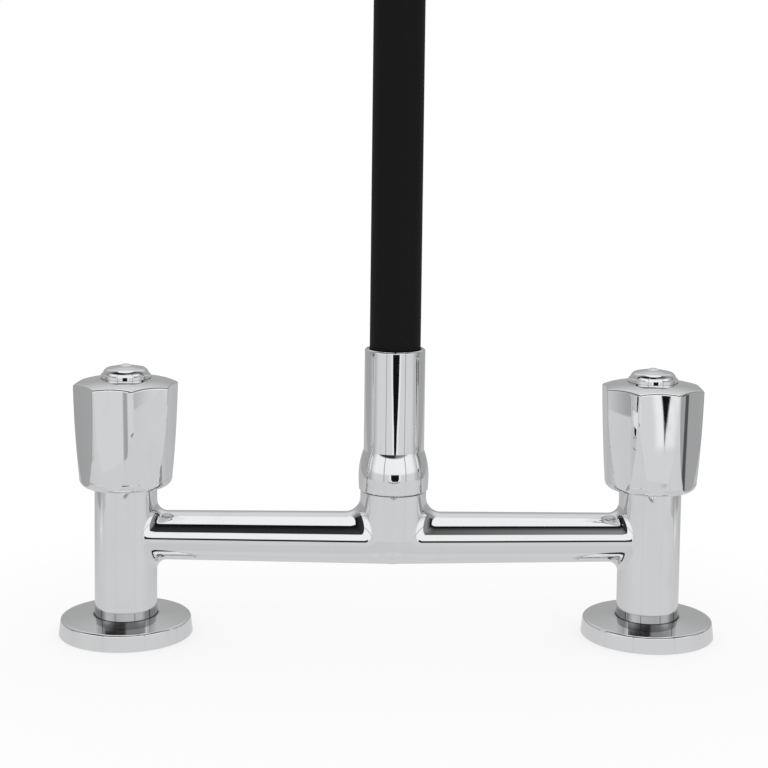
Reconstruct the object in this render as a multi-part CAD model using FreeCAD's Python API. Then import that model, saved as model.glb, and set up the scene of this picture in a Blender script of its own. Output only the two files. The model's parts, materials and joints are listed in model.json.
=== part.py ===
import FreeCAD, Part
import math
import os
from FreeCAD import Vector

# Two-hole bridge kitchen mixer with a flexible high-arc spout, millimetres, +Z up.
# z = 0 is the deck surface; the origin is midway between the two columns;
# +X runs along the bridge to the cold side and -Y is the user's side.

os.makedirs("parts", exist_ok=True)

# ---------------------------------------------------------------- driving dimensions
INLET_CENTRES = 200.0       # hot column to cold column
DECK_THICKNESS = 30.0       # worktop that the back nuts clamp
RISER_X = 1.6               # the riser stands this far to the cold side of the middle

FIT = 0.05                  # radial clearance of a running or screwed fit
AXIAL_FIT = 0.1             # clearance between faces that seat on each other
GAP = 0.3                   # clearance between pieces that must not rub
OVERSHOOT = 1.0             # how far a cutting tool runs past the face it opens
EDGE_MARGIN = 1.0           # slack when edges are picked out by place or length
TINY = 1e-3
ARC_MIDDLE = 1 - math.sqrt(0.5)     # inset of a quarter round's middle, as a share of its radius

# base of each column
FLANGE_D = 50.6
FLANGE_DRAFT = 0.6          # how much smaller the flange is at its top edge, per side
FLANGE_H = 6.6
FLANGE_EDGE_R = 0.9
FLANGE_CONE_H = 0.9         # rise of the flange's top from its rim to the column
FLANGE_BORE_GAP = 0.25
SEAL_D = 46.0
SEAL_T = 1.6
SEAL_PROUD = 0.15           # rubber left showing under the flange rim

# threaded tails, G 1/2
SHANK_D = 20.955
SHANK_BORE_D = 13.0
SHANK_SPIGOT_D = 18.0
SHANK_SPIGOT_L = 12.0
SHANK_FREE_L = 30.0         # thread left below the back nut for the supply hose
SHANK_CHAMFER = 1.2
SHANK_RUNOUT = 1.0          # thread below the back nut, down to the relief groove
SHANK_RELIEF_H = 1.0
SHANK_RELIEF_DEPTH = 0.4
WASHER_HOLE_GAP = 0.4
UNDER_SEAL_D = 38.0
UNDER_SEAL_T = 3.0
WASHER_D = 40.0
WASHER_T = 2.0
BACKNUT_AF = 30.0
BACKNUT_H = 8.0
BACKNUT_CHAMFER = 1.0

# bridge casting
COLUMN_D = 23.6
COLUMN_TOP = 62.0
COLUMN_TOP_CHAMFER = 0.6
BRIDGE_TOP = 47.3           # the upper line of the bridge is level
BRIDGE_MID_D = 19.9
BRIDGE_END_D = 18.3
BRIDGE_FILLET = 4.2
HUB_FILLET = 6.0
RISER_D = 25.1
RISER_TOP = 56.0
RISER_EDGE_R = 0.4
WATERWAY_D = 12.0

# ceramic valve in each column
VALVE_SEAT_Z = 31.0
VALVE_THREAD_D = 18.6
VALVE_THREAD_L = 12.0
VALVE_SKIRT_D = 17.6
VALVE_SKIRT_WALL = 1.5
VALVE_HEX_AF = 19.0
VALVE_HEX_H = 5.5
VALVE_NECK_D = 14.0
VALVE_NECK_H = 7.2
VALVE_WINDOW_W = 8.0
VALVE_WINDOW_H = 5.7
SEAT_SEAL_T = 2.6
SEAT_SEAL_BORE_D = 11.8
HEAD_SEAL_T = 0.8
DISC_GAP = 0.2
FIXED_DISC_T = 3.4
MOVING_DISC_T = 3.4
DISC_PORT_INNER_R = 2.2
DISC_PORT_OUTER_R = 5.6
DISC_PORT_DEG = 80.0
DISC_LUG_W = 3.0
DISC_LUG_R = 8.5
TONGUE_W = 3.0
TONGUE_L = 11.6
TONGUE_BITE = 1.4           # how deep the spindle's tongue enters the moving disc
SPINDLE_D = 8.0
SPINDLE_COLLAR_T = 3.0
SPLINE_TIP_R = 3.95
SPLINE_ROOT_R = 3.55
SPLINE_TEETH = 20
SPLINE_L = 11.2
SPINDLE_RING_WIRE_D = 1.1
SPINDLE_RING_PITCH = 4.0
CLIP_T = 0.7
CLIP_OUTER_R = 5.6
CLIP_GROOVE_DEPTH = 0.8
CLIP_MOUTH_DEG = 60.0

# fluted knob
KNOB_BOTTOM = 57.2
KNOB_RIM_TOP = 96.2
KNOB_CROWN = 2.2            # rise of the top face from the rim to the button
KNOB_CROWN_MID = 1.45       # rise that is reached half way in
KNOB_TOP_R = 19.8
KNOB_MID_R = 19.0
KNOB_LOW_R = 17.5
KNOB_MID_FALL = 18.0        # height of the mid radius below the rim
KNOB_LOW_RISE = 3.6         # height of the low radius above the bottom
KNOB_FOOT_R = 14.6
KNOB_EDGE_R = 0.9           # rounding of the rim and of the ridges between flutes
KNOB_WALL_GAP = 0.7         # radial clearance of the skirt's mouth round the column
KNOB_ROOF = 9.2             # solid top of the knob, measured down from the rim
KNOB_BOSS_D = 14.0
KNOB_WEB = 2.0
FLUTE_COUNT = 8
FLUTE_R = 60.0
FLUTE_FLOOR_TOP_R = 17.95
FLUTE_FLOOR_LOW_R = 17.15
LEFT_FLUTE_DEG = -98.2      # the direction that one flute of each knob faces
RIGHT_FLUTE_DEG = -92.1
SCREW_D = 4.0
SCREW_HEAD_D = 7.5
SCREW_HEAD_H = 2.4
SCREW_BITE = 9.0
SCREW_SOCKET_AF = 2.5
SCREW_SOCKET_DEPTH = 1.4
BUTTON_RING_R = 9.35
BUTTON_RING_H = 2.2
BUTTON_SEAT_DEPTH = 0.6
BUTTON_DOME_R = 8.6
BUTTON_DOME_H = 3.0
BUTTON_CHEEK_R = 8.0        # half way up the dome's steep side
BUTTON_CHEEK_H = 1.5
BUTTON_SHOULDER_R = 6.2     # where the steep side turns into the cap
BUTTON_SHOULDER_H = 2.28
BUTTON_NUB_R = 2.4
BUTTON_NUB_H = 0.7
BUTTON_SPIGOT_R = 8.0
BUTTON_SPIGOT_L = 2.4
BUTTON_WALL = 1.4

# swivel and sleeve at the foot of the spout
SLEEVE_D = 23.0
SLEEVE_TOP = 110.4
SLEEVE_LIP_R = 0.8
SLEEVE_MOUTH_D = 21.4
SLEEVE_MOUTH_H = 3.0
BULGE_D = 26.7
BULGE_Z = 62.0
BULGE_ARC_H = 9.7           # from the widest point up to the sleeve
BULGE_FOOT_D = 26.3
TAIL_D = 18.9
TAIL_BOTTOM = 42.0
TAIL_SHOULDER = 72.7
TAIL_BARB_L = 22.0
BARB_TEETH = 3
BARB_DEPTH = 0.6
TAIL_BORE_D = 5.2
RISER_BORE_D = 16.0
SWIVEL_RING_WIRE_D = 1.2
SWIVEL_RING_Z = (45.0, 48.6)
SWIVEL_GROOVE_Z = 51.4
SWIVEL_GROOVE_H = 1.5
SWIVEL_GROOVE_DEPTH = 0.95
SWIVEL_CLIP_T = 1.2

# flexible spout: straight riser, half-round arch, short drop
HOSE_D = 19.5
HOSE_BORE_D = 15.0
CORE_D = 14.6
CORE_BORE_D = 11.6
WATER_TUBE_D = 11.2
WATER_TUBE_BORE_D = 7.9
ARCH_R = 90.0
ARCH_START = 285.0
DROP_L = 27.0

# outlet
OUTLET_SLEEVE_L = 25.0      # sleeve length over the hose
OUTLET_TAIL_FLANGE = 6.0
AERATOR_THREAD_D = 22.0
AERATOR_THREAD_L = 6.3
AERATOR_RIM_D = 24.4
AERATOR_RIM_H = 6.0
AERATOR_LIP = 1.5
AERATOR_GRID_T = 3.0
AERATOR_BORE_D = 19.8
RIM_GROOVE_H = 0.6          # parting groove between the rim and the outlet sleeve
RIM_GROOVE_DEPTH = 0.3
AERATOR_SEAL_T = 1.4
AERATOR_SEAL_BORE_D = 13.0
GRID_HOLE_D = 2.2
GRID_PITCH = 3.1
GRID_RINGS = 2


# ---------------------------------------------------------------- derived places
COLUMN_R = COLUMN_D / 2
COLUMN_FOOT = SEAL_T + GAP
COLUMN_XS = {"left": -INLET_CENTRES / 2, "right": INLET_CENTRES / 2}
FLUTE_DEGS = {"left": LEFT_FLUTE_DEG, "right": RIGHT_FLUTE_DEG}
SHANK_R = SHANK_D / 2
UNDER_SEAL_TOP = -DECK_THICKNESS
WASHER_TOP = UNDER_SEAL_TOP - UNDER_SEAL_T
BACKNUT_TOP = WASHER_TOP - WASHER_T
BACKNUT_FOOT = BACKNUT_TOP - BACKNUT_H
RELIEF_TOP = BACKNUT_FOOT - SHANK_RUNOUT
RELIEF_FOOT = RELIEF_TOP - SHANK_RELIEF_H
SHANK_FOOT = BACKNUT_FOOT - SHANK_FREE_L

RISER_R = RISER_D / 2
BRIDGE_MID_Z = BRIDGE_TOP - BRIDGE_MID_D / 2
BRIDGE_END_Z = BRIDGE_TOP - BRIDGE_END_D / 2
BRIDGE_BORE_Z = (BRIDGE_MID_Z + BRIDGE_END_Z) / 2
HUB_Z = BRIDGE_TOP - BRIDGE_MID_D + RISER_R
RISER_SOCKET_R = TAIL_D / 2 + FIT

VALVE_BORE_R = VALVE_THREAD_D / 2 + FIT / 2
FIXED_DISC_Z = VALVE_SEAT_Z + SEAT_SEAL_T
MOVING_DISC_Z = FIXED_DISC_Z + FIXED_DISC_T
MOVING_DISC_TOP = MOVING_DISC_Z + MOVING_DISC_T
VALVE_SKIRT_FOOT = FIXED_DISC_Z + AXIAL_FIT
VALVE_SKIRT_BORE_R = VALVE_SKIRT_D / 2 - VALVE_SKIRT_WALL
DISC_R = VALVE_SKIRT_BORE_R - DISC_GAP
VALVE_WINDOW_Z = MOVING_DISC_TOP + GAP
COLLAR_Z = VALVE_WINDOW_Z + VALVE_WINDOW_H + GAP
VALVE_SHOULDER = COLLAR_Z + SPINDLE_COLLAR_T + AXIAL_FIT
VALVE_HEX_Z = COLUMN_TOP + HEAD_SEAL_T
VALVE_NECK_Z = VALVE_HEX_Z + VALVE_HEX_H
VALVE_NECK_TOP = VALVE_NECK_Z + VALVE_NECK_H
SPINDLE_R = SPINDLE_D / 2
CLIP_Z = VALVE_NECK_TOP + AXIAL_FIT
SPLINE_Z = CLIP_Z + 2 * CLIP_T + GAP
SPINDLE_TOP = SPLINE_Z + SPLINE_L

KNOB_MOUTH_R = COLUMN_R + KNOB_WALL_GAP
KNOB_ROOF_Z = KNOB_RIM_TOP - KNOB_ROOF
KNOB_CROWN_Z = KNOB_RIM_TOP + KNOB_CROWN
KNOB_LOW_Z = KNOB_BOTTOM + KNOB_LOW_RISE
BUTTON_SEAT_Z = KNOB_CROWN_Z - BUTTON_SEAT_DEPTH
KNOB_WEB_Z = SPINDLE_TOP + GAP
SCREW_SEAT_Z = KNOB_WEB_Z + KNOB_WEB

SLEEVE_FOOT = RISER_TOP + GAP
HOSE_FOOT = TAIL_SHOULDER + GAP
HOSE_SOCKET_R = HOSE_D / 2 + GAP
REACH = 2 * ARCH_R
HOSE_END = ARCH_START - DROP_L
OUTLET_SHOULDER = HOSE_END - GAP
OUTLET_MOUTH = HOSE_END + OUTLET_SLEEVE_L
OUTLET_FOOT = OUTLET_SHOULDER - OUTLET_TAIL_FLANGE - AERATOR_THREAD_L - AERATOR_SEAL_T
OUTLET_TIP = OUTLET_FOOT - AERATOR_RIM_H
AERATOR_TOP = OUTLET_FOOT + AERATOR_THREAD_L


# ---------------------------------------------------------------- small makers
def rod(radius, bottom, top):
    return Part.makeCylinder(radius, top - bottom, Vector(0, 0, bottom))


def ring(outer, inner, bottom, top):
    return rod(outer, bottom, top).cut(rod(inner, bottom, top))


def block(width, depth, bottom, top):
    corner = Vector(-width / 2, -depth / 2, bottom)
    return Part.makeBox(width, depth, top - bottom, corner)


def hexagon(across_flats, bottom, top):
    corner_r = across_flats / math.sqrt(3)
    corners = [turned_point(corner_r, 60 * k, bottom) for k in range(7)]
    return Part.Face(Part.makePolygon(corners)).extrude(Vector(0, 0, top - bottom))


def turned_point(radius, degrees, height):
    angle = math.radians(degrees)
    return Vector(radius * math.cos(angle), radius * math.sin(angle), height)


def turned(start, *steps):
    """Solid turned about Z from (r, z) points; a pair of points is the middle and end of an arc."""
    edges = []
    here = Vector(start[0], 0, start[1])
    for step in steps + (start,):
        if isinstance(step[0], tuple):
            middle = Vector(step[0][0], 0, step[0][1])
            there = Vector(step[1][0], 0, step[1][1])
            edges.append(Part.Arc(here, middle, there).toShape())
        else:
            there = Vector(step[0], 0, step[1])
            if here.distanceToPoint(there) < TINY:
                continue
            edges.append(Part.LineSegment(here, there).toShape())
        here = there
    face = Part.Face(Part.Wire(edges))
    return face.revolve(Vector(0, 0, 0), Vector(0, 0, 1), 360)


def round_edge(corner_r, corner_z, size, out, up):
    """Middle and end of a quarter round at an outline corner, entered along z and left along r."""
    inset = size * ARC_MIDDLE
    middle = (corner_r - out * inset, corner_z - up * inset)
    end = (corner_r - out * size, corner_z)
    return middle, end


def o_ring(major, wire_d, height):
    return Part.makeTorus(major, wire_d / 2, Vector(0, 0, height))


def c_clip(outer, inner, bottom, top, mouth_deg):
    """Flat open ring with its mouth towards +Y."""
    left = turned_point(outer * 2, 90 + mouth_deg / 2, bottom)
    right = turned_point(outer * 2, 90 - mouth_deg / 2, bottom)
    wedge = Part.Face(Part.makePolygon([Vector(0, 0, bottom), right, left, Vector(0, 0, bottom)]))
    return ring(outer, inner, bottom, top).cut(wedge.extrude(Vector(0, 0, top - bottom)))


def sector(inner, outer, degrees, facing, bottom, top):
    """Piece of a ring that spans an angle about the direction it faces."""
    profile = Part.makePolygon(
        [
            Vector(inner, 0, bottom),
            Vector(outer, 0, bottom),
            Vector(outer, 0, top),
            Vector(inner, 0, top),
            Vector(inner, 0, bottom),
        ]
    )
    piece = Part.Face(profile).revolve(Vector(0, 0, 0), Vector(0, 0, 1), degrees)
    piece.rotate(Vector(0, 0, 0), Vector(0, 0, 1), facing - degrees / 2)
    return piece


def spline_bar(growth, bottom, top):
    """Toothed bar; growth is added to every radius."""
    points = []
    for k in range(2 * SPLINE_TEETH + 1):
        radius = SPLINE_TIP_R if k % 2 == 0 else SPLINE_ROOT_R
        points.append(turned_point(radius + growth, 180.0 * k / SPLINE_TEETH, bottom))
    return Part.Face(Part.makePolygon(points)).extrude(Vector(0, 0, top - bottom))


def at(shape, x, y=0.0):
    moved = shape.copy()
    moved.translate(Vector(x, y, 0))
    return moved


def save(name, shape):
    shape.exportStep("parts/" + name + ".step")


# ---------------------------------------------------------------- bridge casting
def bridge_arm(side):
    foot = Vector(RISER_X, 0, BRIDGE_MID_Z)
    run = Vector(side * INLET_CENTRES / 2, 0, BRIDGE_END_Z) - foot
    return Part.makeCone(BRIDGE_MID_D / 2, BRIDGE_END_D / 2, run.Length, foot, run)


def meets_column(edge):
    box = edge.BoundBox
    away = abs(box.Center.x) - (INLET_CENTRES / 2 - COLUMN_R)
    near = abs(away) < BRIDGE_FILLET + EDGE_MARGIN
    return near and box.YLength > EDGE_MARGIN and box.ZLength > EDGE_MARGIN


def meets_hub(edge):
    box = edge.BoundBox
    beside = EDGE_MARGIN < abs(box.Center.x - RISER_X) < RISER_R + EDGE_MARGIN
    return beside and box.XLength < RISER_R


def on_riser_rim(edge):
    box = edge.BoundBox
    return box.ZMin > RISER_TOP - TINY and abs(box.Center.x - RISER_X) < EDGE_MARGIN


def bridge_body():
    hub = Part.makeSphere(RISER_R, Vector(0, 0, HUB_Z)).fuse(rod(RISER_R, HUB_Z, RISER_TOP))
    hub = at(hub.removeSplitter(), RISER_X)
    columns = [at(rod(COLUMN_R, COLUMN_FOOT, COLUMN_TOP), x) for x in COLUMN_XS.values()]
    body = bridge_arm(1).fuse([bridge_arm(-1), hub] + columns)
    body = body.removeSplitter()
    body = body.makeFillet(BRIDGE_FILLET, [e for e in body.Edges if meets_column(e)])
    body = body.makeFillet(HUB_FILLET, [e for e in body.Edges if meets_hub(e)])
    body = body.makeFillet(RISER_EDGE_R, [e for e in body.Edges if on_riser_rim(e)])
    return body.cut(waterways())


def waterways():
    along = Part.makeCylinder(
        WATERWAY_D / 2,
        INLET_CENTRES,
        Vector(-INLET_CENTRES / 2, 0, BRIDGE_BORE_Z),
        Vector(1, 0, 0),
    )
    groove_r = RISER_SOCKET_R + SWIVEL_GROOVE_DEPTH
    riser = turned(
        (0, BRIDGE_BORE_Z),
        (RISER_BORE_D / 2, BRIDGE_BORE_Z),
        (RISER_BORE_D / 2, TAIL_BOTTOM - GAP),
        (RISER_SOCKET_R, TAIL_BOTTOM - GAP),
        (RISER_SOCKET_R, SWIVEL_GROOVE_Z),
        (groove_r, SWIVEL_GROOVE_Z),
        (groove_r, SWIVEL_GROOVE_Z + SWIVEL_GROOVE_H),
        (RISER_SOCKET_R, SWIVEL_GROOVE_Z + SWIVEL_GROOVE_H),
        (RISER_SOCKET_R, RISER_TOP + OVERSHOOT),
        (0, RISER_TOP + OVERSHOOT),
    )
    spigot_r = SHANK_SPIGOT_D / 2 + FIT / 2
    spigot_top = COLUMN_FOOT + SHANK_SPIGOT_L + GAP
    column = turned(
        (0, COLUMN_FOOT - OVERSHOOT),
        (spigot_r, COLUMN_FOOT - OVERSHOOT),
        (spigot_r, spigot_top),
        (WATERWAY_D / 2, spigot_top),
        (WATERWAY_D / 2, VALVE_SEAT_Z),
        (VALVE_BORE_R, VALVE_SEAT_Z),
        (VALVE_BORE_R, COLUMN_TOP - COLUMN_TOP_CHAMFER),
        (VALVE_BORE_R + COLUMN_TOP_CHAMFER, COLUMN_TOP),
        (VALVE_BORE_R + COLUMN_TOP_CHAMFER, COLUMN_TOP + OVERSHOOT),
        (0, COLUMN_TOP + OVERSHOOT),
    )
    return along.fuse([at(riser, RISER_X)] + [at(column, x) for x in COLUMN_XS.values()])


# ---------------------------------------------------------------- base and deck fixings
def flange():
    bore = COLUMN_R + FLANGE_BORE_GAP
    foot = FLANGE_D / 2
    head = foot - FLANGE_DRAFT
    recess = SEAL_D / 2 + GAP
    return turned(
        (bore, SEAL_T),
        (recess, SEAL_T),
        (recess, SEAL_PROUD),
        (foot - GAP, SEAL_PROUD),
        (foot, SEAL_PROUD + GAP),
        (head, FLANGE_H - FLANGE_EDGE_R),
        round_edge(head, FLANGE_H, FLANGE_EDGE_R, 1, 1),
        (bore, FLANGE_H + FLANGE_CONE_H),
    )


def flange_seal():
    return ring(SEAL_D / 2, SHANK_R + WASHER_HOLE_GAP, 0, SEAL_T)


def inlet_shank():
    bore = SHANK_BORE_D / 2
    relief_r = SHANK_R - SHANK_RELIEF_DEPTH
    spigot_r = SHANK_SPIGOT_D / 2
    top = COLUMN_FOOT + SHANK_SPIGOT_L
    return turned(
        (bore, SHANK_FOOT),
        (SHANK_R - SHANK_CHAMFER, SHANK_FOOT),
        (SHANK_R, SHANK_FOOT + SHANK_CHAMFER),
        (SHANK_R, RELIEF_FOOT),
        (relief_r, RELIEF_FOOT),
        (relief_r, RELIEF_TOP),
        (SHANK_R, RELIEF_TOP),
        (SHANK_R, COLUMN_FOOT),
        (spigot_r, COLUMN_FOOT),
        (spigot_r, top - SHANK_CHAMFER),
        (spigot_r - SHANK_CHAMFER, top),
        (bore, top),
    )


def backnut():
    corner_r = BACKNUT_AF / math.sqrt(3)
    envelope = turned(
        (0, BACKNUT_FOOT),
        (corner_r - BACKNUT_CHAMFER, BACKNUT_FOOT),
        (corner_r, BACKNUT_FOOT + BACKNUT_CHAMFER / 2),
        (corner_r, BACKNUT_TOP),
        (0, BACKNUT_TOP),
    )
    nut = hexagon(BACKNUT_AF, BACKNUT_FOOT, BACKNUT_TOP).common(envelope)
    return nut.cut(rod(SHANK_R + FIT / 2, BACKNUT_FOOT, BACKNUT_TOP))


def under_deck_seal():
    return ring(UNDER_SEAL_D / 2, SHANK_R + WASHER_HOLE_GAP, WASHER_TOP, UNDER_SEAL_TOP)


def fixing_washer():
    return ring(WASHER_D / 2, SHANK_R + WASHER_HOLE_GAP, BACKNUT_TOP, WASHER_TOP)


# ---------------------------------------------------------------- ceramic valve
def valve_housing():
    skirt_r = VALVE_SKIRT_D / 2
    thread_r = VALVE_THREAD_D / 2
    thread_z = COLUMN_TOP - VALVE_THREAD_L
    outside = turned(
        (0, VALVE_SKIRT_FOOT),
        (skirt_r, VALVE_SKIRT_FOOT),
        (skirt_r, thread_z),
        (thread_r, thread_z),
        (thread_r, VALVE_HEX_Z),
        (0, VALVE_HEX_Z),
    )
    neck = rod(VALVE_NECK_D / 2, VALVE_NECK_Z, VALVE_NECK_TOP)
    head = hexagon(VALVE_HEX_AF, VALVE_HEX_Z, VALVE_NECK_Z).fuse(neck)
    inside = turned(
        (0, VALVE_SKIRT_FOOT - OVERSHOOT),
        (VALVE_SKIRT_BORE_R, VALVE_SKIRT_FOOT - OVERSHOOT),
        (VALVE_SKIRT_BORE_R, VALVE_SHOULDER),
        (SPINDLE_R + FIT / 2, VALVE_SHOULDER),
        (SPINDLE_R + FIT / 2, VALVE_NECK_TOP + OVERSHOOT),
        (0, VALVE_NECK_TOP + OVERSHOOT),
    )
    windows = block(
        2 * VALVE_SKIRT_D, VALVE_WINDOW_W, VALVE_WINDOW_Z, VALVE_WINDOW_Z + VALVE_WINDOW_H
    )
    slot_foot = VALVE_SKIRT_FOOT - OVERSHOOT
    slots = block(DISC_LUG_W + GAP, 2 * VALVE_SKIRT_D, slot_foot, MOVING_DISC_Z + AXIAL_FIT)
    return outside.fuse(head).cut(inside).cut(windows).cut(slots)


def valve_head_seal():
    return ring(COLUMN_R - COLUMN_TOP_CHAMFER, VALVE_THREAD_D / 2 + FIT, COLUMN_TOP, VALVE_HEX_Z)


def seat_seal():
    return ring(VALVE_SKIRT_D / 2, SEAT_SEAL_BORE_D / 2, VALVE_SEAT_Z, FIXED_DISC_Z)


def disc_ports(facing, bottom, top):
    """Two opposite ports; the discs are shut when their ports stand a quarter turn apart."""
    return [
        sector(DISC_PORT_INNER_R, DISC_PORT_OUTER_R, DISC_PORT_DEG, way, bottom, top)
        for way in (facing, facing + 180)
    ]


def fixed_disc():
    lug = block(DISC_LUG_W, 2 * DISC_LUG_R, FIXED_DISC_Z, MOVING_DISC_Z)
    disc = rod(DISC_R, FIXED_DISC_Z, MOVING_DISC_Z).fuse(lug)
    return disc.removeSplitter().cut(disc_ports(0, FIXED_DISC_Z, MOVING_DISC_Z))


def moving_disc():
    disc = rod(DISC_R, MOVING_DISC_Z, MOVING_DISC_TOP)
    slot_floor = MOVING_DISC_TOP - TONGUE_BITE - GAP
    slot = block(TONGUE_L + 2 * GAP, TONGUE_W + GAP, slot_floor, MOVING_DISC_TOP)
    return disc.cut(disc_ports(90, MOVING_DISC_Z, MOVING_DISC_TOP) + [slot])


def spindle():
    collar_r = VALVE_SKIRT_BORE_R - DISC_GAP
    clip_r = SPINDLE_R - CLIP_GROOVE_DEPTH
    clip_foot = CLIP_Z - AXIAL_FIT / 2
    clip_head = CLIP_Z + CLIP_T + AXIAL_FIT / 2
    shaft = turned(
        (0, COLLAR_Z),
        (collar_r, COLLAR_Z),
        (collar_r, COLLAR_Z + SPINDLE_COLLAR_T),
        (SPINDLE_R, COLLAR_Z + SPINDLE_COLLAR_T),
        (SPINDLE_R, clip_foot),
        (clip_r, clip_foot),
        (clip_r, clip_head),
        (SPINDLE_R, clip_head),
        (SPINDLE_R, SPLINE_Z),
        (0, SPLINE_Z),
    )
    tongue = block(TONGUE_L, TONGUE_W, MOVING_DISC_TOP - TONGUE_BITE, COLLAR_Z)
    grooves = [
        ring(collar_r, spindle_groove_r(), z - groove_half(), z + groove_half())
        for z in spindle_ring_zs()
    ]
    body = shaft.fuse([tongue, spline_bar(0, SPLINE_Z, SPINDLE_TOP)]).cut(grooves)
    tapped = rod(SCREW_D / 2 + FIT / 2, KNOB_WEB_Z - SCREW_BITE - OVERSHOOT, SPINDLE_TOP)
    return body.cut(tapped)


def spindle_ring_zs():
    middle = (VALVE_HEX_Z + VALVE_NECK_Z) / 2
    return (middle - SPINDLE_RING_PITCH / 2, middle + SPINDLE_RING_PITCH / 2)


def groove_half():
    return SPINDLE_RING_WIRE_D / 2 + FIT


def spindle_groove_r():
    return SPINDLE_R - SPINDLE_RING_WIRE_D - FIT


def spindle_o_rings():
    major = SPINDLE_R - SPINDLE_RING_WIRE_D / 2 - FIT / 2
    return [o_ring(major, SPINDLE_RING_WIRE_D, z) for z in spindle_ring_zs()]


def spindle_clip():
    inner = SPINDLE_R - CLIP_GROOVE_DEPTH + FIT
    return c_clip(CLIP_OUTER_R, inner, CLIP_Z, CLIP_Z + CLIP_T, CLIP_MOUTH_DEG)


# ---------------------------------------------------------------- knob
def knob_barrel():
    foot_mid_r = KNOB_LOW_R - (KNOB_LOW_R - KNOB_FOOT_R) * ARC_MIDDLE
    foot_mid_z = KNOB_BOTTOM + KNOB_LOW_RISE * ARC_MIDDLE
    crown_mid_r = (KNOB_TOP_R + BUTTON_RING_R) / 2
    return turned(
        (0, KNOB_BOTTOM),
        (KNOB_FOOT_R, KNOB_BOTTOM),
        ((foot_mid_r, foot_mid_z), (KNOB_LOW_R, KNOB_LOW_Z)),
        ((KNOB_MID_R, KNOB_RIM_TOP - KNOB_MID_FALL), (KNOB_TOP_R, KNOB_RIM_TOP)),
        ((crown_mid_r, KNOB_RIM_TOP + KNOB_CROWN_MID), (BUTTON_RING_R, KNOB_CROWN_Z)),
        (0, KNOB_CROWN_Z),
    )


def flute_cutter():
    """Round bar, three flutes long, that leans outwards; the barrel's taper ends the flute in a U."""
    rise = KNOB_RIM_TOP - KNOB_LOW_Z
    lean = Vector(FLUTE_FLOOR_TOP_R - FLUTE_FLOOR_LOW_R, 0, rise)
    middle = Vector(FLUTE_FLOOR_LOW_R + FLUTE_R, 0, KNOB_LOW_Z)
    foot = middle - lean
    return Part.makeCylinder(FLUTE_R, 3 * lean.Length, foot, lean)


def knob_inside():
    boss_r = KNOB_BOSS_D / 2
    hollow = turned(
        (0, KNOB_BOTTOM - OVERSHOOT),
        (KNOB_MOUTH_R, KNOB_BOTTOM - OVERSHOOT),
        (KNOB_MOUTH_R, KNOB_ROOF_Z),
        (boss_r, KNOB_ROOF_Z),
        (boss_r, SPLINE_Z),
        (0, SPLINE_Z),
    )
    top = turned(
        (0, KNOB_WEB_Z + KNOB_WEB),
        (BUTTON_SPIGOT_R + GAP, KNOB_WEB_Z + KNOB_WEB),
        (BUTTON_SPIGOT_R + GAP, BUTTON_SEAT_Z),
        (BUTTON_RING_R + GAP, BUTTON_SEAT_Z),
        (BUTTON_RING_R + GAP, KNOB_CROWN_Z + OVERSHOOT),
        (0, KNOB_CROWN_Z + OVERSHOOT),
    )
    socket = spline_bar(FIT, SPLINE_Z - OVERSHOOT, KNOB_WEB_Z)
    screw_hole = rod(SCREW_D / 2 + GAP, KNOB_WEB_Z - OVERSHOOT, SCREW_SEAT_Z + OVERSHOOT)
    return [hollow, top, socket, screw_hole]


def is_knob_edge(edge):
    """True for the edges of the scalloped rim and for both edges of each ridge."""
    box = edge.BoundBox
    reach = max(abs(box.XMin), abs(box.XMax), abs(box.YMin), abs(box.YMax))
    on_rim = box.ZMin > KNOB_RIM_TOP - TINY and reach > BUTTON_RING_R + EDGE_MARGIN
    on_ridge = box.ZMax < KNOB_CROWN_Z - TINY and box.ZLength > KNOB_RIM_TOP - KNOB_LOW_Z - EDGE_MARGIN
    return on_rim or on_ridge


def handle(flute_deg):
    knob = knob_barrel()
    knob.rotate(Vector(0, 0, 0), Vector(0, 0, 1), flute_deg)
    for k in range(FLUTE_COUNT):
        cutter = flute_cutter()
        cutter.rotate(Vector(0, 0, 0), Vector(0, 0, 1), flute_deg + 360.0 * k / FLUTE_COUNT)
        knob = knob.cut(cutter)
    knob = knob.makeFillet(KNOB_EDGE_R, [e for e in knob.Edges if is_knob_edge(e)])
    return knob.cut(knob_inside())


def handle_screw():
    foot = KNOB_WEB_Z - SCREW_BITE
    head_top = SCREW_SEAT_Z + SCREW_HEAD_H
    screw = rod(SCREW_D / 2, foot, SCREW_SEAT_Z).fuse(
        rod(SCREW_HEAD_D / 2, SCREW_SEAT_Z, head_top)
    )
    return screw.cut(hexagon(SCREW_SOCKET_AF, head_top - SCREW_SOCKET_DEPTH, head_top))


def axis_arc(start, end):
    """Middle and end of an arc between two outline points, centred on the Z axis."""
    centre = (end[0] ** 2 + end[1] ** 2 - start[0] ** 2 - start[1] ** 2) / (2 * (end[1] - start[1]))
    radius = math.hypot(start[0], start[1] - centre)
    middle_r = (start[0] + end[0]) / 2
    middle = (middle_r, centre + math.sqrt(radius * radius - middle_r * middle_r))
    return middle, end


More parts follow.
